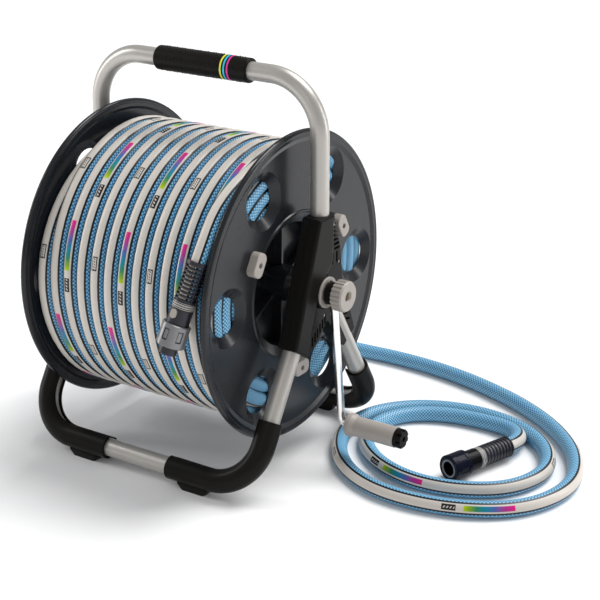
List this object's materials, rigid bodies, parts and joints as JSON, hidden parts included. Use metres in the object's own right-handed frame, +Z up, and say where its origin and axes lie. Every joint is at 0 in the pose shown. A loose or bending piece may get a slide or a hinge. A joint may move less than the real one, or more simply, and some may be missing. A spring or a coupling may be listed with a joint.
{
  "type": "garden hose reel cart",
  "caption": "Garden hose reel: a flanged drum wound with hose turns in a bent-tube stand with carry handle, crank, swivel inlet, feed hose and couplings.",
  "frame": {"origin": "on the floor, below the middle of the object's box without the hoses", "axes": "+X along the drum's axle towards the crank, +Z up, the front of the stand is -Y"},
  "size_m": [0.6311, 0.4905, 0.4477],
  "materials": {
    "tube": "satin warm silver",
    "black_plastic": "satin moulded",
    "flange_plastic": "glossy moulded, dark slate",
    "grey_plastic": "matte warm grey",
    "bands": "three coloured rings",
    "zinc": "zinc plated",
    "brass": "machined",
    "chrome": "bright chrome",
    "seal": "nitrile",
    "hose": "blue woven mesh under clear skin, pale stripe",
    "coupling_black": "satin",
    "coupling_grey": "silver grey"
  },
  "bodies": {
    "frame": {"handle_tube": "tube", "front_leg_tube": "tube", "rear_leg_tube": "tube", "handle_grip": "black_plastic", "grip_bands": "bands", "front_left_corner": "black_plastic", "front_right_corner": "black_plastic", "rear_left_corner": "black_plastic", "rear_right_corner": "black_plastic", "left_bracket_outer": "black_plastic", "left_bracket_inner": "black_plastic", "right_bracket_outer": "black_plastic", "right_bracket_inner": "black_plastic", "bracket_screws": "zinc", "left_bush": "grey_plastic", "right_bush": "grey_plastic", "bezel_ring": "grey_plastic", "inlet_elbow": "black_plastic", "pipe_seals": "seal", "inlet_nut": "grey_plastic", "feed_hose": "hose", "feed_relief": "coupling_black", "feed_coupler": "coupling_black"},
    "drum": {"left_flange": "flange_plastic", "right_flange": "flange_plastic", "left_flange_clips": "grey_plastic", "right_flange_clips": "grey_plastic", "left_clip_screws": "zinc", "right_clip_screws": "zinc", "drum_core": "flange_plastic", "drive_axle": "zinc", "water_pipe": "brass", "crank_arm": "chrome", "crank_hub": "black_plastic", "wound_hose": "hose", "hose_tail": "hose", "nozzle_relief": "coupling_black", "nozzle_coupler": "coupling_black", "nozzle_tip": "coupling_black", "nozzle_pad": "coupling_grey"},
    "crank_grip": {"crank_grip": "grey_plastic", "grip_end_cap": "black_plastic"},
    "knob": {"crank_knob": "grey_plastic", "knob_insert": "brass"},
    "nozzle_collar": {"nozzle_collar": "coupling_grey"},
    "feed_collar": {"feed_collar": "coupling_black"}
  },
  "joints": [
    {"name": "drum_spin", "type": "hinge", "parent": "frame", "child": "drum", "pos_m": [-0.0267, 0, 0.206], "axis": [1, 0, 0], "continuous": true},
    {"name": "crank_grip_spin", "type": "hinge", "parent": "drum", "child": "crank_grip", "pos_m": [-0.0267, 0.00806, 0.05221], "axis": [1, 0, 0], "continuous": true},
    {"name": "knob_turn", "type": "hinge", "parent": "drum", "child": "knob", "pos_m": [0.1533, 0, 0.206], "axis": [1, 0, 0], "range_deg": [0, 720]},
    {"name": "nozzle_collar_slide", "type": "slide", "parent": "drum", "child": "nozzle_collar", "axis": [0.1867, 0.3263, 0.9266], "range_m": [0, 0.005], "stiffness_N_per_m": 800},
    {"name": "feed_collar_slide", "type": "slide", "parent": "frame", "child": "feed_collar", "axis": [0.3357, 0.942, 0], "range_m": [0, 0.005], "stiffness_N_per_m": 800}
  ]
}
